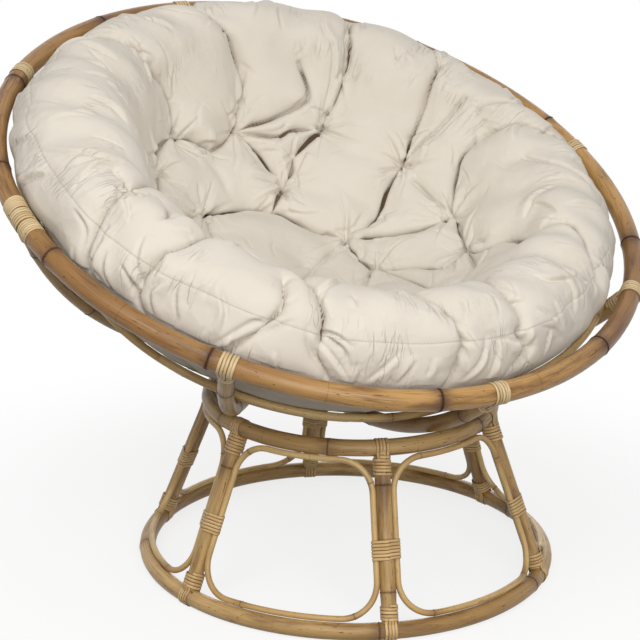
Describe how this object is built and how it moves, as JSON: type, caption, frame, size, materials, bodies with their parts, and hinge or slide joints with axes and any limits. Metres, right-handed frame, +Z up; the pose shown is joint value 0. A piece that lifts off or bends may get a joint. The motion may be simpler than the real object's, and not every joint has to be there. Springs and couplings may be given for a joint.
{
  "type": "papasan chair",
  "caption": "Round bent-pole bowl chair: a tilted rattan bowl with a deep tufted cushion, resting in the top ring of a six-legged rattan base.",
  "frame": {"origin": "on the floor, under the middle of the base", "axes": "+Z up, -Y towards the low front of the tilted bowl, +X to the right seen from the front"},
  "size_m": [1.1144, 1.0271, 0.8827],
  "materials": {
    "rim": "varnished rattan pole, satin",
    "pole": "rattan pole, satin",
    "cane": "thin round cane, satin",
    "strip": "split cane strip, satin",
    "cotton": "unbleached cotton, matt"
  },
  "bodies": {
    "base": {"base_ring_top": "pole", "base_ring_bottom": "pole", "leg_1": "pole", "panel_cane_1": "cane", "leg_top_binding_1": "strip", "leg_mid_lashing_1": "strip", "leg_foot_binding_1": "strip", "leg_2": "pole", "panel_cane_2": "cane", "leg_top_binding_2": "strip", "leg_mid_lashing_2": "strip", "leg_foot_binding_2": "strip", "leg_3": "pole", "panel_cane_3": "cane", "leg_top_binding_3": "strip", "leg_mid_lashing_3": "strip", "leg_foot_binding_3": "strip", "leg_4": "pole", "panel_cane_4": "cane", "leg_top_binding_4": "strip", "leg_mid_lashing_4": "strip", "leg_foot_binding_4": "strip", "leg_5": "pole", "panel_cane_5": "cane", "leg_top_binding_5": "strip", "leg_mid_lashing_5": "strip", "leg_foot_binding_5": "strip", "leg_6": "pole", "panel_cane_6": "cane", "leg_top_binding_6": "strip", "leg_mid_lashing_6": "strip", "leg_foot_binding_6": "strip"},
    "bowl": {"rim_hoop": "rim", "upper_hoop": "cane", "mid_hoop": "cane", "bottom_hoop": "pole", "rib_1": "pole", "rib_2": "pole", "rib_3": "pole", "rib_4": "pole", "rib_5": "pole", "rib_6": "pole", "rib_7": "pole", "rib_8": "pole", "rim_binding_1": "strip", "rim_binding_2": "strip", "rim_binding_3": "strip", "rim_binding_4": "strip", "rim_binding_5": "strip", "rim_binding_6": "strip", "rim_binding_8": "strip", "rim_splice_binding": "strip"},
    "cushion": {"cushion": "cotton"}
  },
  "joints": [
    {"name": "bowl_tilt", "type": "hinge", "parent": "base", "child": "bowl", "pos_m": [0, 0, 0.8558], "axis": [1, 0, 0], "range_deg": [-23.4, 10]},
    {"name": "cushion_lift", "type": "slide", "parent": "bowl", "child": "cushion", "axis": [0, -0.3972, 0.9178], "range_m": [0, 0.3]}
  ]
}
